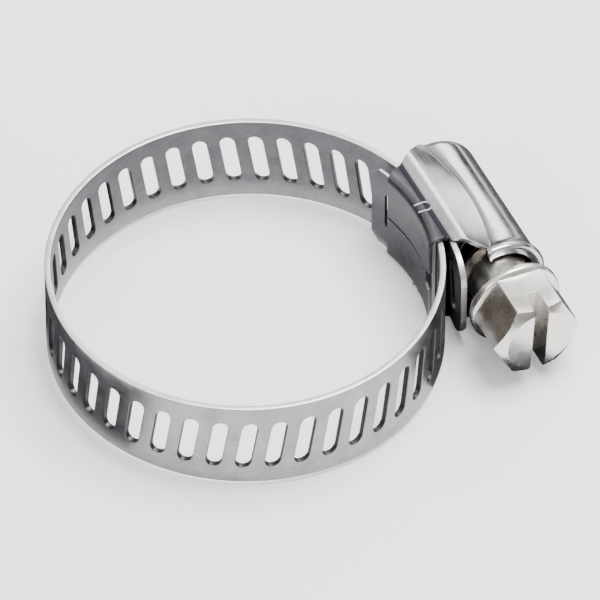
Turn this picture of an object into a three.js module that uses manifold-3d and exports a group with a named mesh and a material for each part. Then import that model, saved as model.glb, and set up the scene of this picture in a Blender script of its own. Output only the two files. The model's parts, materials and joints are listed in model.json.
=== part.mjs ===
// Worm-drive hose clamp: a perforated band whose slots are the worm's rack, a folded housing, a saddle
// and a worm screw with a slotted hex head. Units are millimetres. The hose axis is +Z, the screw's
// head points to +X, and the housing sits on the +Y side of the loop.
import * as THREE from 'three';
import { mergeVertices } from 'three/addons/utils/BufferGeometryUtils.js';
import Module from 'manifold-3d';

const wasm = await Module();
wasm.setup();

// Band. It starts under the housing, goes once round the hose and returns as the slotted tail.
const BAND_WIDTH = 10;
const BAND_THICKNESS = 0.6;
const START_RADIUS = 18.7;        // mid-layer radius of the fixed end, under the screw
const LAYER_STEP = 1.1;           // how much further out the tail lies after one full turn
const PITCH = 2.8;                // slot spacing and lead of the worm
const SLOT_WIDTH = 1.5;
const SLOT_LENGTH = 5.9;
const SLOT_LEAN = Math.PI * 8.5 / 180;
const LINK_SLOTS = 4;             // each link of the band carries four slots
const LINK_LENGTH = LINK_SLOTS * PITCH;
const LINK_COUNT = 11;
const LINK_GAP = 0.15;
const FIXED_END_START = -4.6;     // arc lengths from the point under the screw's middle
const FIRST_HINGE = 5.6;
const TAIL_EXTRA = 1.6;           // the last link reaches past its own length
const TAIL_CORNER = 2.6;
const TAIL_STRAIGHT_FROM = 3;     // the tail is straight from here on, past the screw's middle

// Screw. Its axis is parallel to X.
const CREST_RADIUS = 3.7;
const ROOT_RADIUS = 2.95;
const SCREW_Y = 23.3;
const THREAD_START = -7.8;
const THREAD_END = 6.8;
const CREST_HALF_WIDTH = 0.25;
const FLANK_WIDTH = 0.3;
const THREAD_PHASE = -0.07;       // the crest's place inside its slot at rest
const NECK_RADIUS = 3.1;
const COLLAR_START = 10.4;
const COLLAR_END = 11.3;
const COLLAR_RADIUS = 4.7;
const HEAD_END = 16.6;
const HEX_ACROSS_FLATS = 8;
const DRIVER_SLOT_WIDTH = 1.5;
const DRIVER_SLOT_DEPTH = 2.7;

// Housing and saddle, both bent to the hose. Radii are measured from the hose axis.
const FLANGE_INNER = 17.55;
const FLANGE_OUTER = 17.92;
const FLANGE_REAR = -4.6;
const HOUSING_FRONT = 5.0;
const HOUSING_HALF_WIDTH = 5.55;
const CHANNEL_HALF_WIDTH = 5.15;
const CHANNEL_TOP = 20.4;
const BEND_Y = 20.5;              // where the sloping shoulder turns into the side wall
const CREASE_Y = SCREW_Y + 0.3;   // where the shoulder meets the dome
const CREASE_Z = 4.3;
const DOME_RADIUS = 4.45;
const DOME_REAR = -9.0;
const DOME_FRONT = 8.0;
const COWL_LIP = 0.3;
const SHEET = 0.5;
const SADDLE_RADIUS = 18.17;
const SADDLE_THICKNESS = 0.34;
const SADDLE_FRONT = 4.8;
const SADDLE_REAR = -7.3;
const TONGUE_CHAMFER = 0.9;
const TONGUE_WINDOW = [-5.6, -4.9];
const TONGUE_WINDOW_HALF_HEIGHT = 2.2;

const steel = (name, colour, roughness) =>
  new THREE.MeshStandardMaterial({ name, color: colour, metalness: 1, roughness });
const MATERIALS = {
  housing: steel('housing_steel', 0xc9c5c8, 0.25),
  saddle: steel('saddle_steel', 0x8f8e92, 0.45),
  band: steel('band_steel', 0xb4b2b4, 0.35),
  screw: steel('screw_plating', 0xdcd8cf, 0.4),
};

// A closed body for the boolean operations.
function solid(geometry) {
  const plain = geometry.index ? geometry.toNonIndexed() : geometry.clone();
  plain.deleteAttribute('normal');
  plain.deleteAttribute('uv');
  const merged = mergeVertices(plain, 1e-5);
  return new wasm.Manifold(new wasm.Mesh({
    numProp: 3,
    vertProperties: Float32Array.from(merged.attributes.position.array),
    triVerts: Uint32Array.from(merged.index.array),
  }));
}

function geometryOf(body) {
  const mesh = body.getMesh();
  const geometry = new THREE.BufferGeometry();
  const points = new Float32Array(mesh.numVert * 3);
  for (let i = 0; i < mesh.numVert; i += 1) {
    for (let k = 0; k < 3; k += 1) {
      points[3 * i + k] = mesh.vertProperties[mesh.numProp * i + k];
    }
  }
  geometry.setAttribute('position', new THREE.BufferAttribute(points, 3));
  geometry.setIndex(new THREE.BufferAttribute(Uint32Array.from(mesh.triVerts), 1));
  return geometry;
}

function named(name, geometry, material) {
  geometry.computeVertexNormals();
  const mesh = new THREE.Mesh(geometry, material);
  mesh.name = name;
  return mesh;
}

function box(low, high) {
  const geometry = new THREE.BoxGeometry(high[0] - low[0], high[1] - low[1], high[2] - low[2]);
  geometry.translate((low[0] + high[0]) / 2, (low[1] + high[1]) / 2, (low[2] + high[2]) / 2);
  return solid(geometry);
}

// A turned body about the screw axis; the profile is a list of [radius, x] from rear to front.
function turned(profile, segments = 32) {
  const points = profile.map(([radius, x]) => new THREE.Vector2(radius, x));
  const geometry = new THREE.LatheGeometry(points, segments);
  geometry.rotateZ(-Math.PI / 2);
  geometry.translate(0, SCREW_Y, 0);
  return geometry;
}

function rod(radius, start, end, segments = 32) {
  return solid(turned([[0, start], [radius, start], [radius, end], [0, end]], segments));
}

// A drum about the hose axis, taller than everything else.
function drum(radius) {
  const geometry = new THREE.CylinderGeometry(radius, radius, 40, 160);
  geometry.rotateX(Math.PI / 2);
  return solid(geometry);
}

// A prism along X whose section is symmetric about z = 0; corners are [z, y] on the +Z side, top first.
function ridge(corners, start, end) {
  const shape = new THREE.Shape();
  const mirrored = corners.map(([z, y]) => [-z, y]).reverse();
  shape.setFromPoints([...corners, ...mirrored].map(([z, y]) => new THREE.Vector2(-z, y)));
  const geometry = new THREE.ExtrudeGeometry(shape, { depth: end - start, bevelEnabled: false });
  geometry.rotateY(Math.PI / 2);
  geometry.translate(start, 0, 0);
  return solid(geometry);
}

// The angle round the hose, clockwise seen from +Z, at an arc length along the band's mid layer.
function bandAngle(arc) {
  const growth = LAYER_STEP / (4 * Math.PI);
  return (Math.sqrt(START_RADIUS ** 2 + 4 * growth * arc) - START_RADIUS) / (2 * growth);
}

// The arc length of one full turn, where the tail passes under the screw's middle.
const FULL_TURN = START_RADIUS * 2 * Math.PI + LAYER_STEP * Math.PI;

function onBand(arc, out, z) {
  const angle = bandAngle(Math.min(arc, FULL_TURN + TAIL_STRAIGHT_FROM));
  const along = Math.max(0, arc - FULL_TURN - TAIL_STRAIGHT_FROM);
  const radius = START_RADIUS + LAYER_STEP * angle / (2 * Math.PI) + out;
  return [
    radius * Math.sin(angle) + along * Math.cos(angle),
    radius * Math.cos(angle) - along * Math.sin(angle),
    z,
  ];
}

function onSaddle(arc, out, z) {
  const angle = arc / SADDLE_RADIUS;
  const radius = SADDLE_RADIUS + out;
  return [radius * Math.sin(angle), radius * Math.cos(angle), z];
}

// A strip bent along a curve. halfWidth gives its half width at each arc length.
function strip(start, end, halfWidth, thickness, place) {
  const steps = Math.ceil((end - start) / 0.7);
  const geometry = new THREE.BoxGeometry(end - start, thickness, 2, steps, 1, 1);
  const points = geometry.attributes.position;
  for (let i = 0; i < points.count; i += 1) {
    const arc = points.getX(i) + (start + end) / 2;
    points.setXYZ(i, ...place(arc, points.getY(i), points.getZ(i) * halfWidth(arc)));
  }
  return solid(geometry);
}

// The cutter for one leaning slot with round ends, standing square to the band at the slot's middle.
function slotCutter(arc) {
  const radius = SLOT_WIDTH / 2;
  const reach = SLOT_LENGTH / 2 - radius;
  const outline = new THREE.Shape();
  outline.absarc(0, reach, radius, 0, Math.PI);
  outline.absarc(0, -reach, radius, Math.PI, 2 * Math.PI);
  const options = { depth: 3, bevelEnabled: false, curveSegments: 6 };
  const geometry = new THREE.ExtrudeGeometry(outline, options);
  geometry.translate(0, 0, -1.5);
  geometry.rotateZ(-SLOT_LEAN);
  geometry.rotateX(-Math.PI / 2);
  geometry.rotateZ(-bandAngle(Math.min(arc, FULL_TURN + TAIL_STRAIGHT_FROM)));
  geometry.translate(...onBand(arc, 0, 0));
  return solid(geometry);
}

function bandFixedEnd() {
  const end = FIRST_HINGE - LINK_GAP / 2;
  const body = strip(FIXED_END_START, end, () => BAND_WIDTH / 2, BAND_THICKNESS, onBand);
  return named('band_fixed_end', geometryOf(body), MATERIALS.band);
}

// The tail's free end has rounded corners.
function tailHalfWidth(arc) {
  const end = FIRST_HINGE + LINK_COUNT * LINK_LENGTH + TAIL_EXTRA;
  const into = arc - (end - TAIL_CORNER);
  const drop = TAIL_CORNER - Math.sqrt(Math.max(0, TAIL_CORNER ** 2 - Math.max(0, into) ** 2));
  return BAND_WIDTH / 2 - drop;
}

function bandLink(index) {
  const start = FIRST_HINGE + index * LINK_LENGTH;
  const end = start + LINK_LENGTH;
  const last = index === LINK_COUNT - 1;
  const plate = strip(
    start + LINK_GAP / 2,
    last ? end + TAIL_EXTRA : end - LINK_GAP / 2,
    tailHalfWidth,
    BAND_THICKNESS,
    onBand,
  );
  let body = plate;
  for (let slot = 0; slot < LINK_SLOTS; slot += 1) {
    body = body.subtract(slotCutter(start + (slot + 0.5) * PITCH));
  }
  const name = `band_link_${String(index + 1).padStart(2, '0')}`;
  return named(name, geometryOf(body), MATERIALS.band);
}

// Where a tail slot's middle crosses nearest to the hose's +Y side, along X.
function slotUnderScrew() {
  const first = FIRST_HINGE + 0.5 * PITCH;
  const arc = first + PITCH * Math.round((FULL_TURN - first) / PITCH);
  return onBand(arc, 0, 0)[0];
}

function threadRadius(x, angle) {
  const along = x - slotUnderScrew() - THREAD_PHASE - PITCH * angle / (2 * Math.PI);
  const distance = Math.abs(along - PITCH * Math.round(along / PITCH));
  const height = (CREST_HALF_WIDTH + FLANK_WIDTH - distance) / FLANK_WIDTH;
  const fade = Math.min((x - THREAD_START) / 0.6, (THREAD_END - x) / 0.6);
  const share = Math.max(0, Math.min(1, height, fade));
  return ROOT_RADIUS + (CREST_RADIUS - ROOT_RADIUS) * share;
}

// The worm: a turned blank whose surface is raised along a right-hand helix.
function threadedBlank() {
  const rows = 64;
  const profile = [[0, THREAD_START], [ROOT_RADIUS - 0.3, THREAD_START]];
  for (let i = 1; i < rows; i += 1) {
    profile.push([ROOT_RADIUS, THREAD_START + (THREAD_END - THREAD_START) * i / rows]);
  }
  profile.push([NECK_RADIUS, THREAD_END], [NECK_RADIUS, COLLAR_START], [0, COLLAR_START]);
  const geometry = turned(profile, 28);
  const points = geometry.attributes.position;
  for (let i = 0; i < points.count; i += 1) {
    const y = points.getY(i) - SCREW_Y;
    const z = points.getZ(i);
    const radius = Math.hypot(y, z);
    if (Math.abs(radius - ROOT_RADIUS) < 1e-3) {
      const scale = threadRadius(points.getX(i), Math.atan2(-z, -y)) / radius;
      points.setY(i, SCREW_Y + y * scale);
      points.setZ(i, z * scale);
    }
  }
  return solid(geometry);
}

// Two of the hexagon's corners point along Y and two of its flats face up and down.
function hexPrism(radius, start, end) {
  const geometry = turned([[0, start], [radius, start], [radius, end], [0, end]], 6);
  geometry.translate(0, -SCREW_Y, 0);
  geometry.rotateX(Math.PI / 6);
  geometry.translate(0, SCREW_Y, 0);
  return solid(geometry);
}

function hexHead() {
  const radius = HEX_ACROSS_FLATS / Math.sqrt(3);
  const prism = hexPrism(radius, COLLAR_END - 0.2, HEAD_END);
  const rounding = solid(turned([
    [0, COLLAR_END - 0.3],
    [radius + 0.2, COLLAR_END - 0.3],
    [radius + 0.2, HEAD_END - 0.7],
    [radius - 0.3, HEAD_END - 0.2],
    [radius - 0.8, HEAD_END],
    [0, HEAD_END],
  ], 48));
  return prism.intersect(rounding);
}

function screw() {
  const collar = solid(turned([
    [0, COLLAR_START - 0.1],
    [COLLAR_RADIUS - 0.2, COLLAR_START - 0.1],
    [COLLAR_RADIUS, COLLAR_START + 0.2],
    [COLLAR_RADIUS, COLLAR_END - 0.2],
    [COLLAR_RADIUS - 0.3, COLLAR_END],
    [0, COLLAR_END],
  ], 48));
  const half = DRIVER_SLOT_WIDTH / 2;
  const driverSlot = box(
    [HEAD_END - DRIVER_SLOT_DEPTH, SCREW_Y - half, -10],
    [HEAD_END + 1, SCREW_Y + half, 10],
  );
  const body = threadedBlank().add(collar).add(hexHead()).subtract(driverSlot);
  return named('screw', geometryOf(body), MATERIALS.screw);
}

// The housing's side view: long at the crease, short where its flanges fold under.
function sideView() {
  const corners = [
    [FLANGE_REAR, 10],
    [FLANGE_REAR, FLANGE_OUTER],
    [FLANGE_REAR - 1, FLANGE_OUTER + 0.7],
    [DOME_REAR + 0.4, SCREW_Y - 1.3],
    [DOME_REAR + 1.2, CREASE_Y + 0.1],
    [DOME_FRONT - 0.6, CREASE_Y + 0.1],
    [DOME_FRONT - 0.4, SCREW_Y - 0.6],
    [HOUSING_FRONT, FLANGE_OUTER + 0.7],
    [HOUSING_FRONT, 10],
  ];
  const shape = new THREE.Shape(corners.map(([x, y]) => new THREE.Vector2(x, y)));
  const geometry = new THREE.ExtrudeGeometry(shape, { depth: 20, bevelEnabled: false });
  geometry.translate(0, 0, -10);
  return solid(geometry);
}

function housing() {
  const dome = solid(turned([
    [0, DOME_REAR],
    [2.6, DOME_REAR],
    [3.8, DOME_REAR + 0.5],
    [DOME_RADIUS, DOME_REAR + 1.7],
    [DOME_RADIUS, DOME_FRONT - 1.2],
    [DOME_RADIUS + COWL_LIP, DOME_FRONT - 0.8],
    [DOME_RADIUS + COWL_LIP, DOME_FRONT - 0.3],
    [DOME_RADIUS, DOME_FRONT],
    [0, DOME_FRONT],
  ], 48));
  const shell = ridge([
    [CREASE_Z, CREASE_Y],
    [HOUSING_HALF_WIDTH, BEND_Y],
    [HOUSING_HALF_WIDTH, 10],
  ], DOME_REAR, DOME_FRONT).intersect(sideView());
  const hollow = ridge([
    [CREASE_Z - SHEET, CREASE_Y - SHEET],
    [CHANNEL_HALF_WIDTH, BEND_Y - 0.3],
    [CHANNEL_HALF_WIDTH, CHANNEL_TOP - 1],
  ], DOME_REAR + 1.5, DOME_FRONT + 1);
  const channel = box([-30, 0, -CHANNEL_HALF_WIDTH], [30, CHANNEL_TOP, CHANNEL_HALF_WIDTH])
    .subtract(drum(FLANGE_OUTER));
  const bore = rod(CREST_RADIUS + 0.25, THREAD_START - 0.4, THREAD_END + 0.35);
  const neckHole = rod(NECK_RADIUS + 0.3, THREAD_END, DOME_FRONT + 1);
  const belowCowl = box([HOUSING_FRONT, 0, -CREASE_Z], [DOME_FRONT + 2, SCREW_Y - 1.2, CREASE_Z]);
  const seam = box([-12, 5, -0.15], [12, FLANGE_OUTER + 0.3, 0.15]);
  const frontNotch = box([HOUSING_FRONT - 1.2, 5, -1.1], [12, FLANGE_OUTER + 0.3, 1.1]);
  const body = dome.add(shell)
    .subtract(hollow)
    .subtract(channel)
    .subtract(bore)
    .subtract(neckHole)
    .subtract(belowCowl)
    .subtract(drum(FLANGE_INNER))
    .subtract(seam)
    .subtract(frontNotch);
  return named('housing', geometryOf(body), MATERIALS.housing);
}

// The saddle follows the hose, and its tongue, with a window, sticks out behind the flanges.
function saddle() {
  const rear = SADDLE_RADIUS * Math.asin(SADDLE_REAR / SADDLE_RADIUS);
  const front = SADDLE_RADIUS * Math.asin(SADDLE_FRONT / SADDLE_RADIUS);
  const halfWidth = (arc) => BAND_WIDTH / 2 - Math.max(0, TONGUE_CHAMFER - (arc - rear));
  const reach = TONGUE_WINDOW_HALF_HEIGHT;
  const window = box([TONGUE_WINDOW[0], 0, -reach], [TONGUE_WINDOW[1], 30, reach]);
  const body = strip(rear, front, halfWidth, SADDLE_THICKNESS, onSaddle).subtract(window);
  return named('saddle', geometryOf(body), MATERIALS.saddle);
}

// Puts the middle of the clamp's footprint at the origin, on the ground.
function recentred(group) {
  group.updateMatrixWorld(true);
  const bounds = new THREE.Box3().setFromObject(group);
  const middle = bounds.getCenter(new THREE.Vector3());
  for (const mesh of group.children) {
    mesh.geometry.translate(-middle.x, -middle.y, -bounds.min.z);
  }
  return group;
}

const clamp = new THREE.Group();
clamp.name = 'hose_clamp';
clamp.add(housing(), saddle(), screw(), bandFixedEnd());
for (let index = 0; index < LINK_COUNT; index += 1) {
  clamp.add(bandLink(index));
}

export default recentred(clamp);
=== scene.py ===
"""Worm-drive hose clamp: the visible pieces, their materials, and the studio."""
import json
import math

import bmesh
import bpy
import numpy as np
from mathutils import Matrix, Vector


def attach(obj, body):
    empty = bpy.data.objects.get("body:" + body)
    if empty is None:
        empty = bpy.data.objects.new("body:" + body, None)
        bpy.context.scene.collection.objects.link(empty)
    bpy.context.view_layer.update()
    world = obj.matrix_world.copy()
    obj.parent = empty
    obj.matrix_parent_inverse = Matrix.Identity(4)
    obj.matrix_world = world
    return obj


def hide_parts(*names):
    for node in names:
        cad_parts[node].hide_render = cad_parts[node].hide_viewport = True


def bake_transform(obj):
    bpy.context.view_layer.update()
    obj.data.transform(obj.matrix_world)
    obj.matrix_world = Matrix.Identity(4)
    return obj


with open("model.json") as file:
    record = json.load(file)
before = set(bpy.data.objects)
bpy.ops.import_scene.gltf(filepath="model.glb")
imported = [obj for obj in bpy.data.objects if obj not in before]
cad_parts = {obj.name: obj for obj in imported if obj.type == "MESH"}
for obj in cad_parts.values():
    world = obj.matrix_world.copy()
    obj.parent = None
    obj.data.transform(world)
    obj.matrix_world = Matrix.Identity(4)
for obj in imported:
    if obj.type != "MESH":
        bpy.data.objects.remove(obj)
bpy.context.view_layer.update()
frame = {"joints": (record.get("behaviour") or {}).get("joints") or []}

MM = 0.001

# The clamp's driving sizes, in millimetres, as in the CAD model.
BAND_HALF = 5.0
BAND_THICK = 0.6
START_RADIUS = 18.7
LAYER_STEP = 1.1
PITCH = 2.8
SLOT_WIDTH = 1.5
SLOT_LENGTH = 5.9
SLOT_LEAN = math.radians(8.5)
LINK_SLOTS = 4
LINK_LENGTH = LINK_SLOTS * PITCH
LINK_COUNT = 11
FIXED_START = -4.6
FIRST_HINGE = 5.6
TAIL_EXTRA = 1.6
TAIL_CORNER = 2.6
STRAIGHT_FROM = 3.0
SCREW_X = 8.0
SCREW_Y = 23.3
FULL_TURN = START_RADIUS * 2 * math.pi + LAYER_STEP * math.pi

joints = {joint["name"]: joint for joint in frame["joints"]}
screw_point = Vector(joints["screw_turn"]["pos_m"])
HOSE_AXIS = screw_point - Vector((SCREW_X, SCREW_Y, 0)) * MM


def placed(points):
    """Millimetre points, measured from the hose axis and the band's mid plane, as metres."""
    return np.asarray(points, float) * MM + np.array(HOSE_AXIS)


# ---------------------------------------------------------------- mesh helpers

def mesh_object(name, vertices, faces, uv=None, wear_and_highlight=None, painted_darkness=None):
    """A mesh in metres. uv, the bright-edge weights (edge wear and painted highlight) and the dark
    weights (painted shade and painted dark reflection) are given per vertex.
    """
    mesh = bpy.data.meshes.new(name)
    mesh.from_pydata([tuple(v) for v in vertices], [], [tuple(f) for f in faces])
    obj = bpy.data.objects.new(name, mesh)
    bpy.context.scene.collection.objects.link(obj)
    if uv is not None:
        layer = mesh.uv_layers.new(name="strip")
        for loop in mesh.loops:
            layer.data[loop.index].uv = uv[loop.vertex_index]
    for key, values in (("wear_and_highlight", wear_and_highlight), ("painted_darkness", painted_darkness)):
        if values is not None:
            attribute = mesh.attributes.new(key, "FLOAT", "POINT")
            attribute.data.foreach_set("value", np.asarray(values, np.float32))
    return obj


def welded(obj, distance=2e-6):
    """Joins vertices that coincide, and turns all faces the same way."""
    work = bmesh.new()
    work.from_mesh(obj.data)
    bmesh.ops.remove_doubles(work, verts=work.verts, dist=distance)
    bmesh.ops.recalc_face_normals(work, faces=work.faces)
    work.to_mesh(obj.data)
    work.free()
    return obj


def capped(obj):
    """Closes every open boundary, and turns all faces outward."""
    work = bmesh.new()
    work.from_mesh(obj.data)
    bmesh.ops.holes_fill(work, edges=[e for e in work.edges if e.is_boundary], sides=0)
    bmesh.ops.recalc_face_normals(work, faces=work.faces)
    work.to_mesh(obj.data)
    work.free()
    return obj


def smoothed(obj, angle=38):
    """Smooth shading with sharp edges kept above an angle."""
    work = bmesh.new()
    work.from_mesh(obj.data)
    for face in work.faces:
        face.smooth = True
    for edge in work.edges:
        if len(edge.link_faces) == 2:
            edge.smooth = edge.calc_face_angle() < math.radians(angle)
    work.to_mesh(obj.data)
    work.free()
    return obj


def applied(obj, *modifiers):
    """Adds modifiers, given as (type, settings), and applies them to the mesh."""
    for kind, settings in modifiers:
        modifier = obj.modifiers.new(kind.lower(), kind)
        for key, value in settings.items():
            setattr(modifier, key, value)
    bpy.context.view_layer.update()
    graph = bpy.context.evaluated_depsgraph_get()
    mesh = bpy.data.meshes.new_from_object(obj.evaluated_get(graph))
    obj.modifiers.clear()
    obj.data = mesh
    return obj


def discarded(*objects):
    for obj in objects:
        bpy.data.objects.remove(obj, do_unlink=True)


def bevelled(obj, width, segments=3, angle=30):
    settings = {
        "width": width * MM,
        "segments": segments,
        "limit_method": "ANGLE",
        "angle_limit": math.radians(angle),
        "harden_normals": False,
    }
    return applied(obj, ("BEVEL", settings))


def grid_faces(rows, columns, closed=False):
    """Quads of a row-major grid; closed joins the last column to the first."""
    faces = []
    for row in range(rows - 1):
        for column in range(columns if closed else columns - 1):
            after = (column + 1) % columns
            faces.append((
                row * columns + column,
                row * columns + after,
                (row + 1) * columns + after,
                (row + 1) * columns + column,
            ))
    return faces


# ---------------------------------------------------------------- the band's path

def band_angle(arc):
    """The angle round the hose at an arc length: the band winds outward evenly."""
    growth = LAYER_STEP / (4 * math.pi)
    root = np.sqrt(START_RADIUS ** 2 + 4 * growth * np.asarray(arc, float))
    return (root - START_RADIUS) / (2 * growth)


def on_band(arc, out, z):
    """Points at an arc length, a distance out from the mid layer, and a height."""
    arc = np.asarray(arc, float)
    bend_end = FULL_TURN + STRAIGHT_FROM
    angle = band_angle(np.minimum(arc, bend_end))
    along = np.maximum(0, arc - bend_end)
    radius = START_RADIUS + LAYER_STEP * angle / (2 * math.pi) + out
    x = radius * np.sin(angle) + along * np.cos(angle)
    y = radius * np.cos(angle) - along * np.sin(angle)
    return placed(np.stack([x, y, np.broadcast_to(z, x.shape)], axis=-1))


def on_arc(radius):
    """Points on a plate bent about the hose axis, as a function like on_band."""
    def place(arc, out, z):
        angle = np.asarray(arc, float) / radius
        distance = radius + out
        x, y = distance * np.sin(angle), distance * np.cos(angle)
        return placed(np.stack([x, y, np.broadcast_to(z, x.shape)], axis=-1))
    return place


# ---------------------------------------------------------------- perforated strips

EDGE_ROUND = 0.09
SIDE_STEPS = 14
END_STEPS = 8


def edge_profile(thickness):
    """(setback, out) pairs round a sheared edge, from the outer to the inner face."""
    half = thickness / 2
    profile = []
    for turn in (0, 30, 60, 90):
        angle = math.radians(turn)
        profile.append((
            EDGE_ROUND * (1 - math.sin(angle)),
            half - EDGE_ROUND * (1 - math.cos(angle)),
        ))
    return profile + [(setback, -out) for setback, out in reversed(profile)]


# How strongly each point of an edge profile takes its edge colour (edge wear with painted highlight on
# long edges and ends, painted shade on slot walls): not at all where it meets the faces.
EDGE_COLOUR_SHARE = (0, 0.5, 1, 1, 1, 1, 0.5, 0)


def slot_outline(width, length, lean, grow):
    """A round-ended slot as a closed loop of points, starting at its lower right corner."""
    radius = width / 2 + grow
    reach = (length - width) / 2
    quarter = radius * math.pi / 4
    total = 2 * reach + 2 * quarter
    side = []
    for i in range(SIDE_STEPS):
        run = total * i / SIDE_STEPS
        if run < quarter:
            turn = -math.pi / 4 + run / radius
            side.append((radius * math.cos(turn), -reach + radius * math.sin(turn)))
        elif run < quarter + 2 * reach:
            side.append((radius, -reach + run - quarter))
        else:
            turn = (run - quarter - 2 * reach) / radius
            side.append((radius * math.cos(turn), reach + radius * math.sin(turn)))
    end = []
    for i in range(END_STEPS):
        turn = math.pi / 4 + math.pi / 2 * i / END_STEPS
        end.append((radius * math.cos(turn), reach + radius * math.sin(turn)))
    half = side + end
    loop = np.array(half + [(-x, -z) for x, z in half])
    loop[:, 0] -= loop[:, 1] * math.tan(lean)
    return loop


def cell_outline(half_length, half_height):
    """The cell's rectangle, with as many points as the slot's outline."""
    side = [(half_length, -half_height + 2 * half_height * i / SIDE_STEPS) for i in range(SIDE_STEPS)]
    end = [(half_length - 2 * half_length * i / END_STEPS, half_height) for i in range(END_STEPS)]
    half = side + end
    return np.array(half + [(-x, -z) for x, z in half])


class Strip:
    """Collects flat pieces, as (arc, out, z), that are then bent together."""

    def __init__(self, thickness, half_height=BAND_HALF):
        self.thickness = thickness
        self.half_height = half_height
        self.taper = lambda arc: 1.0
        self.points = []
        self.faces = []
        # Per-vertex share of bright edge colour: edge wear and painted highlight.
        self.wear_and_highlight = []
        # Per-vertex share of painted darkness: painted shade and painted dark reflection.
        self.painted_darkness = []

    def add(self, points, faces, wear_and_highlight, painted_darkness=None):
        start = len(self.points)
        self.points += [tuple(p) for p in points]
        self.faces += [tuple(start + i for i in face) for face in faces]
        self.wear_and_highlight += list(wear_and_highlight)
        self.painted_darkness += list(painted_darkness) if painted_darkness is not None else [0.0] * len(points)

    def slotted_cell(self, centre, half_length, width, length, lean):
        """One slot and the sheet round it, down to the sheet's long edges."""
        flat = self.half_height - EDGE_ROUND
        rim = cell_outline(half_length, flat)
        lip = slot_outline(width, length, lean, EDGE_ROUND)
        shares = (0, 0.35, 0.7, 0.92)
        half = self.thickness / 2
        rows = [(rim + (lip - rim) * share, half) for share in shares]
        for setback, out in edge_profile(self.thickness):
            rows.append((slot_outline(width, length, lean, setback), out))
        rows += [(rim + (lip - rim) * share, -half) for share in reversed(shares)]
        # The slot's walls get painted shade, strongest in the middle of the edge.
        wall = (0,) * len(shares) + EDGE_COLOUR_SHARE + (0,) * len(shares)
        columns = len(rim)
        points = [(centre + s, out, z) for loop, out in rows for s, z in loop]
        faces = grid_faces(len(rows), columns, closed=True)
        self.add(points, faces, [0.0] * len(points), np.repeat(wall, columns))
        arcs = centre + half_length - 2 * half_length * np.arange(END_STEPS + 1) / END_STEPS
        self.long_edges(arcs)

    def long_edges(self, arcs):
        """The two sheared edges that run along the strip."""
        for sign in (1, -1):
            points = []
            profile = edge_profile(self.thickness)
            for setback, out in profile:
                points += [(arc, out, sign * (self.half_height - setback)) for arc in arcs]
            faces = grid_faces(len(profile), len(arcs))
            # These edges are brightened: edge wear and painted highlight.
            self.add(points, faces, np.repeat(EDGE_COLOUR_SHARE, len(arcs)))

    def plain(self, arcs, close_start=False, close_end=False):
        """Sheet with no slot, between the given arc lengths."""
        flat = self.half_height - EDGE_ROUND
        levels = np.linspace(-flat, flat, SIDE_STEPS + 1)
        for out in (self.thickness / 2, -self.thickness / 2):
            points = [(arc, out, level) for arc in arcs for level in levels]
            self.add(points, grid_faces(len(arcs), len(levels)), [0.0] * len(points))
        self.long_edges(arcs)
        for arc, closed in ((arcs[0], close_start), (arcs[-1], close_end)):
            if closed:
                self.end_wall(arc, levels)

    def end_wall(self, arc, levels):
        """The sheared edge across the strip's end."""
        profile = edge_profile(self.thickness)
        points = [(arc, out, level) for _, out in profile for level in levels]
        # The end's edge is brightened: edge wear and painted highlight.
        self.add(points, grid_faces(len(profile), len(levels)), np.repeat(EDGE_COLOUR_SHARE, len(levels)))

    def bent(self, name, place):
        """The strip as an object, narrowed by its taper and bent by the function place."""
        flat = np.array(self.points)
        flat[:, 2] *= [self.taper(arc) for arc in flat[:, 0]]
        points = place(flat[:, 0], flat[:, 1], flat[:, 2])
        uv = np.stack([flat[:, 0], flat[:, 2] + flat[:, 1]], axis=-1) * 0.1
        obj = mesh_object(name, points, self.faces, uv, self.wear_and_highlight, self.painted_darkness)
        return smoothed(welded(obj))


def add_slot(strip, number):
    """The band's slot of that number, counted from the first hinge."""
    centre = FIRST_HINGE + PITCH * (number + 0.5)
    strip.slotted_cell(centre, PITCH / 2, SLOT_WIDTH, SLOT_LENGTH, SLOT_LEAN)


TAIL_END = FIRST_HINGE + LINK_COUNT * LINK_LENGTH + TAIL_EXTRA


def tail_taper(arc):
    """The tail's width near its rounded end, as a share of the band's."""
    into = max(0.0, arc - (TAIL_END - TAIL_CORNER))
    corner = math.sqrt(max(0.0, TAIL_CORNER ** 2 - into ** 2))
    return (BAND_HALF - TAIL_CORNER + corner) / BAND_HALF


def band_piece(index):
    """The stretch of band between the middles of two links, across their hinge."""
    strip = Strip(BAND_THICK)
    first_slot = max(0, LINK_SLOTS * index - LINK_SLOTS // 2)
    last_slot = min(LINK_SLOTS * LINK_COUNT, LINK_SLOTS * index + LINK_SLOTS // 2)
    for number in range(first_slot, last_slot):
        add_slot(strip, number)
    if index == 0:
        strip.plain(np.linspace(FIXED_START, FIRST_HINGE, 24), close_start=True)
    if index == LINK_COUNT:
        turns = np.linspace(0, math.pi / 2, 14)
        corner = TAIL_END - TAIL_CORNER + TAIL_CORNER * np.sin(turns)
        start = TAIL_END - TAIL_EXTRA
        strip.plain([start] + [arc for arc in corner if arc > start + 0.05], close_end=True)
        strip.taper = tail_taper
    return strip.bent(f"band_{index:02d}", on_band)


def link_name(index):
    return "housing" if index == 0 else f"link_{index:02d}"


def build_band(material):
    """Each piece runs from the middle of one link to the next and stays where it is built; the last
    one rides on the last link.
    """
    for index in range(LINK_COUNT + 1):
        piece = band_piece(index)
        piece.data.materials.append(material)
        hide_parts("band_fixed_end" if index == 0 else f"band_link_{index:02d}")
        if index == LINK_COUNT:
            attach(piece, link_name(index))
            continue
        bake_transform(piece)


# ---------------------------------------------------------------- the housing

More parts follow.
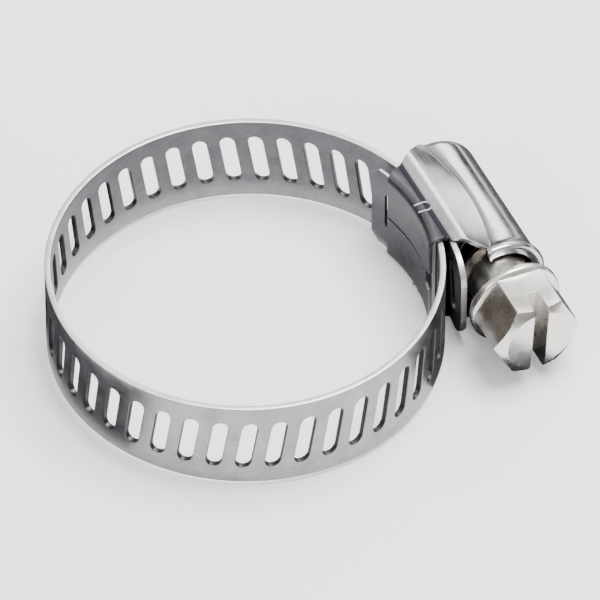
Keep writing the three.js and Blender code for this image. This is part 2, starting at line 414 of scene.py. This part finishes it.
FLANGE_RADIUS = 17.55
HALF_WIDTH = 5.55
FOLD_RADIUS = 0.8
SHEET = 0.38
FLANGE_REAR = -4.6
FRONT = 5.0
DOME_RADIUS = 4.45
DOME_REAR = -9.0
DOME_FRONT = 8.0
SEAM_HALF = 0.12
NOTCH_DEPTH = 1.2
NOTCH_HALF = 1.12
CREASE_Z = 4.18
CREASE_LIP = 0.24
GROOVE_Y = 18.85
GROOVE_DEPTH = 0.12
GROOVE_HALF = 0.3
WALL_FOOT = 18.4
SHOULDER_Y = 20.3
DOME_END_LENGTH = 1.5
DOME_END_ROUND = 1.7
DOME_SHEET = 0.42
COWL_REACH = math.radians(109)


def rear_edge(y):
    """The housing's rear edge, leaning back from the flanges to the dome."""
    return float(np.interp(y, [17.9, 18.6, 22.0, 23.4], [FLANGE_REAR - 0.3, -5.6, -8.4, -8.2]))


def front_edge(y):
    """The housing's front edge, leaning forward from the flanges to the cowl."""
    return float(np.interp(y, [17.9, 18.6, 22.6, 23.6], [FRONT, FRONT + 0.1, 7.5, 7.2]))


def crease_y(x):
    """Where the shoulder runs up into the dome: a bowed line, highest in the middle."""
    share = (x + 0.5) / 8.2
    return 23.7 - 1.35 * min(1.0, share * share)


def side_section():
    """(kind, value, z) points up one side, from the seam under the hose side to the crease."""
    points = []
    levels = (SEAM_HALF, 0.5, 0.9, 1.1, 1.16, 1.3, 1.7, 2.2, 2.7, 3.2, 3.7, 4.1, 4.4, 4.7)
    for z in levels:
        points.append(("flange", 0.0, z))
    for turn in np.linspace(0, math.pi / 2, 9)[1:]:
        rise = FOLD_RADIUS * (1 - math.cos(turn))
        points.append(("flange", rise, HALF_WIDTH - FOLD_RADIUS + FOLD_RADIUS * math.sin(turn)))
    for y in (18.55, 18.7, 18.85, 19.0, 19.1, 19.16, 19.25, 19.8):
        across = max(0.0, 1 - abs(y - GROOVE_Y) / GROOVE_HALF)
        points.append(("wall", y, HALF_WIDTH - GROOVE_DEPTH * min(1.0, 2 * across)))
    for share in (0.0, 0.08, 0.2, 0.35, 0.5, 0.65, 0.8, 0.92, 1.0):
        points.append(("shoulder", share, 0.0))
    return points


def side_point(kind, value, z, along):
    """A point of the side sheet at a share along its own length."""
    if kind == "flange":
        rear = FLANGE_REAR - 0.6 * value / FOLD_RADIUS
        front = FRONT - NOTCH_DEPTH if z < NOTCH_HALF else FRONT
        x = rear + (front - rear) * along
        radius = FLANGE_RADIUS + value
        return x, math.sqrt(radius * radius - x * x), z
    if kind == "wall":
        rear, front = rear_edge(value), front_edge(value)
        x = rear + (front - rear) * along
        base = math.sqrt((FLANGE_RADIUS + FOLD_RADIUS) ** 2 - x * x)
        lift = max(value, base + (value - WALL_FOOT) * 0.8)
        return x, lift, z
    x = 0.0
    for _ in range(3):
        y = SHOULDER_Y + (crease_y(x) + 0.12 - SHOULDER_Y) * value
        x = rear_edge(y) + (front_edge(y) - rear_edge(y)) * along
    return x, y, HALF_WIDTH + (CREASE_Z - HALF_WIDTH) * value


def painted_darkness_share(kind, value):
    """The flanges get a painted dark grey reflection, and the fold between them and the shoulder is
    painted darkest, as shade.
    """
    if kind == "flange":
        return 0.55 if value == 0 else 0.8
    if kind == "wall":
        return 1.0 if value < GROOVE_Y + 0.2 else 0.0
    return 0.0


def outward_sides(obj):
    """Turns the faces of each half of the housing away from its mid plane."""
    work = bmesh.new()
    work.from_mesh(obj.data)
    bmesh.ops.recalc_face_normals(work, faces=work.faces)
    for sign in (1, -1):
        side = [f for f in work.faces if (f.calc_center_median().z - HOSE_AXIS.z) * sign > 0]
        outward = sum((f.normal.z * sign * f.calc_area() for f in side), 0.0)
        if outward < 0:
            bmesh.ops.reverse_faces(work, faces=side)
    work.to_mesh(obj.data)
    work.free()
    return obj


def housing_sheet():
    """The two folded sides with their flanges, as one thin sheet."""
    section = side_section()
    along = np.linspace(0, 1, 46)
    vertices = []
    faces = []
    painted_darkness = []
    for sign in (1, -1):
        start = len(vertices)
        for kind, value, z in section:
            # Each row's share of painted darkness: painted dark reflection on the flanges, painted
            # shade in the fold.
            painted_darkness += [painted_darkness_share(kind, value)] * len(along)
            for share in along:
                x, y, depth = side_point(kind, value, z, share)
                vertices.append((x, y, sign * depth))
        quads = grid_faces(len(section), len(along))
        faces += [tuple(start + i for i in quad) for quad in quads]
    obj = outward_sides(mesh_object("housing_sheet", placed(vertices), faces, painted_darkness=painted_darkness))
    applied(obj, ("SOLIDIFY", {"thickness": SHEET * MM, "offset": -1.0, "use_even_offset": True}))
    return smoothed(bevelled(obj, 0.09, 3, 50))


def revolved(name, profile, turns, closed=True):
    """A surface turned about the screw axis; profile is (x, radius), turns are from +Y towards +Z."""
    vertices = []
    for x, radius in profile:
        for turn in turns:
            vertices.append((x, SCREW_Y + radius * math.cos(turn), radius * math.sin(turn)))
    faces = grid_faces(len(profile), len(turns), closed)
    return welded(mesh_object(name, placed(vertices), faces))


def dome_profile():
    """The dome's outer and inner line, from its closed rear end round the cowl's rolled lip."""
    outer = [(DOME_REAR, 0)]
    for turn in np.linspace(0, math.pi / 2, 12):
        outer.append((
            DOME_REAR + DOME_END_LENGTH * (1 - math.cos(turn)),
            DOME_RADIUS - DOME_END_ROUND * (1 - math.sin(turn)),
        ))
    outer += [(x, DOME_RADIUS) for x in np.linspace(DOME_REAR + 2, DOME_FRONT - 1.6, 12)]
    lip = [
        (DOME_FRONT - 1.25, DOME_RADIUS + 0.04),
        (DOME_FRONT - 0.95, DOME_RADIUS + 0.16),
        (DOME_FRONT - 0.65, DOME_RADIUS + 0.27),
        (DOME_FRONT - 0.35, DOME_RADIUS + 0.28),
        (DOME_FRONT - 0.12, DOME_RADIUS + 0.19),
        (DOME_FRONT, DOME_RADIUS),
        (DOME_FRONT - 0.02, DOME_RADIUS - 0.3),
        (DOME_FRONT - 0.15, DOME_RADIUS - 0.85),
        (DOME_FRONT - 0.45, DOME_RADIUS - 1.0),
        (DOME_FRONT - 0.8, DOME_RADIUS - 0.85),
        (DOME_FRONT - 1.0, DOME_RADIUS - 0.45),
    ]
    inner = [(x, DOME_RADIUS - DOME_SHEET) for x in np.linspace(DOME_FRONT - 1.3, DOME_REAR + 1.7, 12)]
    return outer + lip + inner + [(DOME_REAR + 0.6, 2.4), (DOME_REAR + 0.5, 0)]


def dome_reach(x):
    """How far round the dome comes on each side before it meets the shoulder's crease."""
    at_crease = math.acos((crease_y(x) - SCREW_Y) / DOME_RADIUS)
    past_shoulder = max(0.0, min(1.0, max(x - 6.6, -7.9 - x) / 0.7))
    return at_crease + (COWL_REACH - at_crease) * past_shoulder


def housing_dome():
    """The worm's cover, with its long edges rolled down into the crease."""
    shares = np.linspace(-1, 1, 91)
    profile = dome_profile()
    vertices = []
    for x, radius in profile:
        for share in shares:
            turn = share * dome_reach(x)
            rolled = max(0.0, abs(share) - 0.955) / 0.045
            reach = max(0.0, radius - CREASE_LIP * rolled ** 2)
            vertices.append((x, SCREW_Y + reach * math.cos(turn), reach * math.sin(turn)))
    obj = mesh_object("housing_dome", placed(vertices), grid_faces(len(profile), len(shares)))
    return smoothed(capped(welded(obj)), 45)


# ---------------------------------------------------------------- the saddle

SADDLE_RADIUS = 18.17
SADDLE_THICK = 0.34
SADDLE_REAR = -7.3
SADDLE_FRONT = 4.8
TONGUE_CHAMFER = 0.9
WINDOW_X = -5.25
WINDOW_WIDTH = 0.7
WINDOW_LENGTH = 4.4
WINDOW_CELL = 0.9


def build_saddle():
    """The strip under the band, whose tongue has cut corners and a window."""
    rear = SADDLE_RADIUS * math.asin(SADDLE_REAR / SADDLE_RADIUS)
    front = SADDLE_RADIUS * math.asin(SADDLE_FRONT / SADDLE_RADIUS)
    middle = SADDLE_RADIUS * math.asin(WINDOW_X / SADDLE_RADIUS)
    strip = Strip(SADDLE_THICK, BAND_HALF - 0.05)

    def taper(arc):
        return 1 - max(0.0, TONGUE_CHAMFER - (arc - rear)) / strip.half_height

    first = [rear, rear + 0.2, rear + 0.45, rear + 0.7, rear + TONGUE_CHAMFER, middle - WINDOW_CELL]
    strip.taper = taper
    strip.plain(first, close_start=True)
    strip.slotted_cell(middle, WINDOW_CELL, WINDOW_WIDTH, WINDOW_LENGTH, 0.0)
    strip.plain(np.linspace(middle + WINDOW_CELL, front, 16), close_end=True)
    return strip.bent("saddle_plate", on_arc(SADDLE_RADIUS))


LUG_CENTRE = (0.42, 18.65, 5.42)
LUG_RADIUS = 0.56
LUG_WIRE = 0.15
LUG_LEG = 0.75


def build_lug(sign):
    """The small looped ear of the saddle that locks through the housing's fold."""
    around = [2 * math.pi * i / 12 for i in range(12)]
    vertices = []
    turns = np.radians(np.linspace(-25, 205, 30))
    for i, turn in enumerate(turns):
        outward = Vector((math.cos(turn), math.sin(turn), 0))
        centre = Vector(LUG_CENTRE) + outward * LUG_RADIUS
        if i in (0, len(turns) - 1):
            centre.y -= LUG_LEG
        for angle in around:
            point = centre + outward * LUG_WIRE * math.cos(angle)
            point.z += LUG_WIRE * math.sin(angle)
            vertices.append((point.x, point.y, sign * point.z))
    faces = grid_faces(len(turns), len(around), closed=True)
    ends = (range(len(around)), range(len(vertices) - len(around), len(vertices)))
    faces += [tuple(end) for end in ends]
    side = "upper" if sign > 0 else "lower"
    obj = mesh_object(f"saddle_lug_{side}", placed(vertices), faces)
    return smoothed(welded(obj), 60)


# ---------------------------------------------------------------- the screw

CREST_RADIUS = 3.7
ROOT_RADIUS = 2.95
THREAD_START = -7.8
THREAD_END = 6.8
THREAD_PHASE = -0.07
NECK_RADIUS = 3.1
COLLAR_START = 10.4
COLLAR_END = 11.3
COLLAR_RADIUS = 4.7
HEAD_END = 16.6
ACROSS_FLATS = 8.0
DRIVER_SLOT_WIDTH = 1.5
DRIVER_SLOT_DEPTH = 2.7
HEAD_TURN = math.radians(-3)


def slot_under_screw():
    """Where the middle of the slot nearest to the screw's middle lies along X."""
    first = FIRST_HINGE + 0.5 * PITCH
    arc = first + PITCH * round((FULL_TURN - first) / PITCH)
    return float((on_band(arc, 0, 0.0)[0] - HOSE_AXIS.x) / MM)


def thread_radius(x, turn):
    """The worm's radius; turn is right-handed about +X from the side facing the hose."""
    along = x - slot_under_screw() - THREAD_PHASE - PITCH * turn / (2 * math.pi)
    distance = abs(along - PITCH * round(along / PITCH))
    rise = np.interp(distance, [0.0, 0.2, 0.27, 0.5, 0.6, 0.75], [1.0, 1.0, 0.95, 0.1, 0.02, 0.0])
    fade = min((x - THREAD_START) / 0.6, (THREAD_END - x) / 0.6, 1.0)
    return ROOT_RADIUS + (CREST_RADIUS - ROOT_RADIUS) * rise * max(0.0, fade)


def build_thread():
    """The worm, as a turned surface raised along its helix."""
    around = 72
    stations = np.linspace(THREAD_START, THREAD_END, 240)
    vertices = []
    for x in stations:
        for i in range(around):
            turn = 2 * math.pi * i / around
            if turn > math.pi:
                turn -= 2 * math.pi
            radius = thread_radius(x, turn)
            vertices.append((x, SCREW_Y - radius * math.cos(turn), -radius * math.sin(turn)))
    faces = grid_faces(len(stations), around, True)
    # Every point of the thread gets full painted shade.
    obj = mesh_object("screw_thread", placed(vertices), faces, painted_darkness=[1.0] * len(vertices))
    return smoothed(capped(obj), 50)


def closed_turning(name, profile, steps=96):
    """A surface turned all the way round the screw axis."""
    turns = [2 * math.pi * i / steps for i in range(steps)]
    return revolved(name, profile, turns, closed=True)


def build_neck():
    """The neck and its round collar."""
    start, end, radius = COLLAR_START, COLLAR_END, COLLAR_RADIUS
    profile = [
        (THREAD_END - 0.3, 0), (THREAD_END - 0.3, NECK_RADIUS), (7.4, NECK_RADIUS),
        (9.6, NECK_RADIUS), (start - 0.35, NECK_RADIUS + 0.06), (start - 0.1, NECK_RADIUS + 0.3),
        (start, NECK_RADIUS + 0.5), (start, radius - 0.25), (start + 0.08, radius - 0.08),
        (start + 0.25, radius), (end - 0.25, radius), (end - 0.08, radius - 0.07),
        (end, radius - 0.22), (end, 0),
    ]
    return smoothed(closed_turning("screw_neck", profile), 40)


def driver_slot_cutter():
    """A block that fills the driver slot and sticks out past the head."""
    cutter = mesh_object("head_slot", [], [])
    size = Vector((2 * DRIVER_SLOT_DEPTH, DRIVER_SLOT_WIDTH, 14)) * MM
    work = bmesh.new()
    bmesh.ops.create_cube(work, size=1.0)
    bmesh.ops.scale(work, verts=work.verts, vec=size)
    bmesh.ops.translate(work, verts=work.verts, vec=Vector(placed([HEAD_END, SCREW_Y, 0])))
    work.to_mesh(cutter.data)
    work.free()
    return cutter


def build_head():
    """The hex head: a prism with a turned chamfer at its end and a driver slot."""
    radius = ACROSS_FLATS / math.sqrt(3)
    turns = [2 * math.pi * i / 6 for i in range(6)]
    start = COLLAR_END - 0.15
    past = HEAD_END + 1
    sides = [(start, 0), (start, radius), (past, radius), (past, 0)]
    prism = revolved("screw_head", sides, turns)
    chamfer = closed_turning("head_chamfer", [
        (start - 0.2, 0), (start - 0.2, 6.0), (HEAD_END - 1.1, 5.3),
        (HEAD_END - 0.04, 3.5), (HEAD_END, 3.36), (HEAD_END, 0),
    ])
    cutter = driver_slot_cutter()
    applied(prism,
            ("BOOLEAN", {"operation": "INTERSECT", "object": chamfer, "solver": "EXACT"}),
            ("BOOLEAN", {"operation": "DIFFERENCE", "object": cutter, "solver": "EXACT"}))
    discarded(chamfer, cutter)
    turn = Matrix.Rotation(HEAD_TURN, 4, "X")
    centre = Vector(placed([HEAD_END, SCREW_Y, 0]))
    prism.data.transform(Matrix.Translation(centre) @ turn @ Matrix.Translation(-centre))
    return smoothed(bevelled(welded(prism), 0.1, 3, 32), 14)


# ---------------------------------------------------------------- materials

# Painted shade for the slot walls of the band and the saddle.
PAINTED_SHADE_COLOUR = (0.03, 0.028, 0.032, 1)


class Nodes:
    """A short way to write a material's node tree."""

    def __init__(self, name):
        self.material = bpy.data.materials.new(name)
        self.material.use_nodes = True
        self.tree = self.material.node_tree
        self.shader = self.tree.nodes["Principled BSDF"]

    def add(self, kind, inputs=None, **settings):
        node = self.tree.nodes.new(kind)
        for key, value in settings.items():
            setattr(node, key, value)
        for key, value in (inputs or {}).items():
            self.put(node.inputs[key], value)
        return node

    def put(self, socket, value):
        if isinstance(value, bpy.types.NodeSocket):
            self.tree.links.new(value, socket)
        else:
            socket.default_value = value

    def noise(self, vector, scale, detail=4.0, roughness=0.55):
        node = self.add("ShaderNodeTexNoise", {
            "Vector": vector, "Scale": scale, "Detail": detail, "Roughness": roughness})
        return node.outputs["Fac"]

    def ramp(self, fac, low, high, out_low=0.0, out_high=1.0):
        """Maps low..high to out_low..out_high."""
        node = self.add("ShaderNodeMapRange", {
            "Value": fac, "From Min": low, "From Max": high, "To Min": out_low, "To Max": out_high})
        return node.outputs["Result"]

    def mix(self, fac, a, b):
        node = self.add("ShaderNodeMix", data_type="RGBA")
        self.put(node.inputs[0], fac)
        self.put(node.inputs[6], a)
        self.put(node.inputs[7], b)
        return node.outputs[2]

    def maths(self, operation, a, b):
        """A math node's result for two values or sockets."""
        node = self.add("ShaderNodeMath", operation=operation)
        self.put(node.inputs[0], a)
        self.put(node.inputs[1], b)
        return node.outputs[0]

    def scaled(self, vector, scale):
        return self.add("ShaderNodeMapping", {"Vector": vector, "Scale": scale}).outputs["Vector"]

    def bump(self, height, strength, distance, normal=None):
        inputs = {"Height": height, "Strength": strength, "Distance": distance * MM}
        if normal is not None:
            inputs["Normal"] = normal
        return self.add("ShaderNodeBump", inputs).outputs["Normal"]

    def shade(self, **inputs):
        for key, value in inputs.items():
            self.put(self.shader.inputs[key.replace("_", " ")], value)
        return self.material


def object_space(nodes):
    """Texture coordinates in metres, which stay with the piece as it moves."""
    return nodes.add("ShaderNodeTexCoord").outputs["Object"]


def band_material():
    """Rolled stainless strip: fine lines along it, cloudy tone, bright sheared edges (edge wear and
    painted highlight), and slot walls darkened with painted shade.
    """
    nodes = Nodes("band_steel")
    strip = nodes.add("ShaderNodeUVMap", uv_map="strip").outputs["UV"]
    space = object_space(nodes)
    lines = nodes.noise(nodes.scaled(strip, (5.0, 130.0, 1.0)), 1.0, 4.0, 0.6)
    clouds = nodes.noise(space, 420.0, 6.0, 0.65)
    specks = nodes.noise(space, 3200.0, 3.0, 0.7)
    edge = nodes.add("ShaderNodeAttribute", attribute_name="wear_and_highlight").outputs["Fac"]
    tone = nodes.mix(nodes.ramp(clouds, 0.3, 0.7), (0.21, 0.205, 0.22, 1), (0.36, 0.355, 0.365, 1))
    tone = nodes.mix(nodes.ramp(lines, 0.35, 0.75, 0.0, 0.35), tone, (0.46, 0.455, 0.455, 1))
    tone = nodes.mix(nodes.ramp(specks, 0.56, 0.72, 0.0, 0.5), tone, (0.2, 0.195, 0.2, 1))
    painted_darkness = nodes.add("ShaderNodeAttribute", attribute_name="painted_darkness").outputs["Fac"]
    # Bright edges: edge wear and painted highlight.
    tone = nodes.mix(nodes.maths("MULTIPLY", edge, 0.8), tone, (0.9, 0.9, 0.9, 1))
    # Slot walls darkened with painted shade.
    tone = nodes.mix(nodes.maths("MULTIPLY", painted_darkness, 0.85), tone, PAINTED_SHADE_COLOUR)
    rough = nodes.ramp(clouds, 0.3, 0.7, 0.3, 0.44)
    rough = nodes.maths("ADD", rough, nodes.ramp(lines, 0.3, 0.7, -0.08, 0.08))
    normal = nodes.bump(lines, 0.4, 0.03)
    normal = nodes.bump(specks, 0.2, 0.015, normal)
    normal = nodes.bump(clouds, 0.3, 0.04, normal)
    return nodes.shade(Base_Color=tone, Metallic=1.0, Roughness=rough, Normal=normal)


def housing_material():
    """Pressed and tumbled stainless: bright, with soft drawing marks and faint haze."""
    nodes = Nodes("housing_steel")
    space = object_space(nodes)
    haze = nodes.noise(space, 220.0, 4.0, 0.6)
    marks = nodes.noise(nodes.scaled(space, (120.0, 1500.0, 1500.0)), 1.0, 3.0)
    waves = nodes.noise(space, 420.0, 2.0, 0.4)
    tone = nodes.mix(nodes.ramp(haze, 0.3, 0.7), (0.50, 0.485, 0.50, 1), (0.68, 0.665, 0.675, 1))
    # Painted darkness: a painted dark reflection on the flanges and painted shade in the fold, which
    # are also made rougher.
    painted_darkness = nodes.add("ShaderNodeAttribute", attribute_name="painted_darkness").outputs["Fac"]
    tone = nodes.mix(painted_darkness, tone, (0.035, 0.032, 0.04, 1))
    rough = nodes.ramp(haze, 0.3, 0.7, 0.13, 0.24)
    rough = nodes.maths("ADD", rough, nodes.ramp(marks, 0.4, 0.8, 0.0, 0.08))
    rough = nodes.maths("ADD", rough, nodes.maths("MULTIPLY", painted_darkness, 0.2))
    normal = nodes.bump(waves, 0.35, 0.05)
    normal = nodes.bump(marks, 0.1, 0.012, normal)
    return nodes.shade(Base_Color=tone, Metallic=1.0, Roughness=rough, Normal=normal)


def saddle_material():
    """Dull grey strip with rolling lines and scuffs, bright edges (edge wear and painted highlight),
    and painted shade on the window's walls.
    """
    nodes = Nodes("saddle_steel")
    space = object_space(nodes)
    strip = nodes.add("ShaderNodeUVMap", uv_map="strip").outputs["UV"]
    lines = nodes.noise(nodes.scaled(strip, (8.0, 220.0, 1.0)), 1.0, 3.0)
    clouds = nodes.noise(space, 320.0, 5.0, 0.6)
    edge = nodes.add("ShaderNodeAttribute", attribute_name="wear_and_highlight").outputs["Fac"]
    tone = nodes.mix(nodes.ramp(clouds, 0.3, 0.7), (0.22, 0.215, 0.23, 1), (0.34, 0.335, 0.35, 1))
    painted_darkness = nodes.add("ShaderNodeAttribute", attribute_name="painted_darkness").outputs["Fac"]
    # Bright edges: edge wear and painted highlight.
    tone = nodes.mix(nodes.maths("MULTIPLY", edge, 0.85), tone, (0.92, 0.92, 0.92, 1))
    # Window walls darkened with painted shade.
    tone = nodes.mix(nodes.maths("MULTIPLY", painted_darkness, 0.85), tone, PAINTED_SHADE_COLOUR)
    rough = nodes.ramp(lines, 0.3, 0.7, 0.36, 0.5)
    normal = nodes.bump(lines, 0.25, 0.02)
    return nodes.shade(Base_Color=tone, Metallic=1.0, Roughness=rough, Normal=normal)


def screw_material():
    """Warm white plating: satin, fine-grained, with faint brown stains; the thread is darkened with
    painted shade.
    """
    nodes = Nodes("screw_plating")
    space = object_space(nodes)
    grain = nodes.noise(space, 5200.0, 4.0, 0.6)
    clouds = nodes.noise(space, 300.0, 4.0, 0.6)
    tone = nodes.mix(nodes.ramp(clouds, 0.3, 0.7), (0.72, 0.70, 0.645, 1), (0.84, 0.825, 0.78, 1))
    stains = nodes.noise(space, 130.0, 3.0, 0.6)
    tone = nodes.mix(nodes.ramp(stains, 0.45, 0.75, 0.0, 0.35), tone, (0.55, 0.49, 0.42, 1))
    # Painted shade: the whole thread, which lies under the housing's dome, is darkened towards dark
    # brown.
    painted_darkness = nodes.add("ShaderNodeAttribute", attribute_name="painted_darkness").outputs["Fac"]
    tone = nodes.mix(nodes.maths("MULTIPLY", painted_darkness, 0.8), tone, (0.16, 0.13, 0.11, 1))
    rough = nodes.ramp(clouds, 0.3, 0.7, 0.2, 0.32)
    normal = nodes.bump(grain, 0.05, 0.006)
    return nodes.shade(Base_Color=tone, Metallic=1.0, Roughness=rough, Normal=normal)


def plain_material(name, colour, roughness, emission=0.0):
    nodes = Nodes(name)
    shade = {"Base_Color": (*colour, 1), "Roughness": roughness}
    if emission:
        shade["Emission_Color"] = (*colour, 1)
        shade["Emission_Strength"] = emission
    return nodes.shade(**shade)


# ---------------------------------------------------------------- studio

AZIMUTH = math.radians(65.5)
ELEVATION = math.radians(46)
AIM_RIGHT = 5.0
FRAME_WIDTH = 58.0
CAMERA_DISTANCE = 0.9
FLOOR_GLOW = 0.16
FLAG_HEIGHT = 0.0003
DARK_CARD = (0.03, 0.027, 0.035)
GREY_CARD = (0.3, 0.295, 0.31)
SADDLE_CARD = (0.07, 0.065, 0.08)
BROWN_CARD = (0.05, 0.036, 0.03)


def view_axes():
    """The view's right, up and back directions."""
    sin_a, cos_a = math.sin(AZIMUTH), math.cos(AZIMUTH)
    sin_e, cos_e = math.sin(ELEVATION), math.cos(ELEVATION)
    right = Vector((cos_a, sin_a, 0))
    up = Vector((-sin_a * sin_e, cos_a * sin_e, cos_e))
    back = Vector((sin_a * cos_e, -cos_a * cos_e, sin_e))
    return right, up, back


def add_camera():
    """Looks at the loop from the photograph's direction."""
    right, up, back = view_axes()
    target = HOSE_AXIS + right * AIM_RIGHT * MM
    data = bpy.data.cameras.new("camera")
    data.sensor_width = 36.0
    data.lens = data.sensor_width * CAMERA_DISTANCE / (FRAME_WIDTH * MM)
    data.clip_start = 0.01
    camera = bpy.data.objects.new("camera", data)
    camera.matrix_world = Matrix((
        (right.x, up.x, back.x, 0), (right.y, up.y, back.y, 0), (right.z, up.z, back.z, 0),
        (0, 0, 0, 1),
    ))
    camera.location = target + back * CAMERA_DISTANCE
    bpy.context.scene.collection.objects.link(camera)
    bpy.context.scene.camera = camera


def add_area(name, position, size, power):
    """A rectangular light that faces the clamp."""
    data = bpy.data.lights.new(name, "AREA")
    data.shape = "RECTANGLE"
    data.size, data.size_y = size
    data.energy = power
    light = bpy.data.objects.new(name, data)
    light.location = position
    light.rotation_euler = (HOSE_AXIS - Vector(position)).to_track_quat("-Z", "Y").to_euler()
    bpy.context.scene.collection.objects.link(light)


def add_flag(name, corners, colour):
    """A dark card that only the metal's reflections see."""
    card = mesh_object(name, corners, [tuple(range(len(corners)))])
    card.data.materials.append(plain_material(name, colour, 0.9))
    card.visible_camera = False
    card.visible_shadow = False
    card.visible_diffuse = False


def floor_sector(inner, outer, start, end, steps=16):
    """Corners of a ring sector just above the floor, about the hose axis; angles in degrees."""
    angles = np.radians(np.linspace(start, end, steps))
    ring = [(outer * math.cos(a), outer * math.sin(a)) for a in angles]
    ring += [(inner * math.cos(a), inner * math.sin(a)) for a in reversed(angles)]
    return [(HOSE_AXIS.x + x * MM, HOSE_AXIS.y + y * MM, FLAG_HEIGHT) for x, y in ring]


def standing_card(near, far, low, high):
    """Corners of an upright card between two plan points, from one height to another."""
    ends = [placed([x, y, 0]) for x, y in (near, far)]
    rise = [(end[0], end[1], level * MM) for level in (low, high) for end in ends]
    return [rise[0], rise[1], rise[3], rise[2]]


def add_floor():
    """A pale floor with a faint glow, so that shadows stay light."""
    size = 1.5
    corners = [(-size, -size, 0), (size, -size, 0), (size, size, 0), (-size, size, 0)]
    floor = mesh_object("floor", corners, [(0, 1, 2, 3)])
    floor.data.materials.append(plain_material("floor", (0.95, 0.95, 0.955), 0.6, FLOOR_GLOW))


def add_world():
    """Bright overhead, dark round the horizon."""
    world = bpy.data.worlds.new("studio")
    world.use_nodes = True
    tree = world.node_tree
    direction = tree.nodes.new("ShaderNodeTexCoord").outputs["Generated"]
    split = tree.nodes.new("ShaderNodeSeparateXYZ")
    tree.links.new(direction, split.inputs[0])
    ramp = tree.nodes.new("ShaderNodeValToRGB")
    tree.links.new(split.outputs["Z"], ramp.inputs["Fac"])
    ramp.color_ramp.elements[0].position = 0.16
    ramp.color_ramp.elements[0].color = (0.02, 0.016, 0.03, 1)
    ramp.color_ramp.elements[1].position = 0.5
    ramp.color_ramp.elements[1].color = (1.0, 1.0, 1.0, 1)
    background = tree.nodes["Background"]
    tree.links.new(ramp.outputs["Color"], background.inputs["Color"])
    background.inputs["Strength"].default_value = 1.0
    bpy.context.scene.world = world


def build_studio():
    """Camera, floor, sky, three lights, and the cards that the metal mirrors."""
    add_camera()
    add_floor()
    add_world()
    right, up, back = view_axes()
    overhead = HOSE_AXIS + Vector((0, 0, 0.45))
    add_area("key", overhead + right * 0.15 + up * 0.1, (0.35, 0.35), 6.0)
    add_area("fill", HOSE_AXIS + back * 0.5 - right * 0.35, (0.3, 0.3), 1.5)
    add_area("side", HOSE_AXIS + Vector((-0.63, 0.62, 0.47)) * 0.6, (0.3, 0.22), 0.8)
    add_flag("flag_left", floor_sector(20.5, 36, -125, -62), DARK_CARD)
    add_flag("flag_tail", floor_sector(18.5, 32, 45, 78), DARK_CARD)
    add_flag("flag_inside", floor_sector(0.5, 17.5, 0, 359, 60), GREY_CARD)
    add_flag("flag_saddle", floor_sector(2, 17.0, 45, 120), SADDLE_CARD)
    add_flag("flag_head", floor_sector(21, 130, -165, -100), DARK_CARD)
    add_flag("flag_dome", floor_sector(29, 110, 72, 165), DARK_CARD)
    add_flag("flag_hex", standing_card((9.4, 17.5), (16.2, 17.3), 6.3, 10.5), BROWN_CARD)


# ---------------------------------------------------------------- the object

def stand_in(pieces, material, node, body):
    """Gives pieces their material; they replace a CAD node and move with its body."""
    for piece in pieces:
        piece.data.materials.append(material)
        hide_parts(node)
        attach(piece, body)


def build_clamp():
    build_band(band_material())
    covers = (housing_sheet(), housing_dome())
    stand_in(covers, housing_material(), "housing", "housing")
    plates = (build_saddle(), build_lug(1), build_lug(-1))
    stand_in(plates, saddle_material(), "saddle", "housing")
    turned = (build_thread(), build_neck(), build_head())
    stand_in(turned, screw_material(), "screw", "screw")


build_clamp()
build_studio()
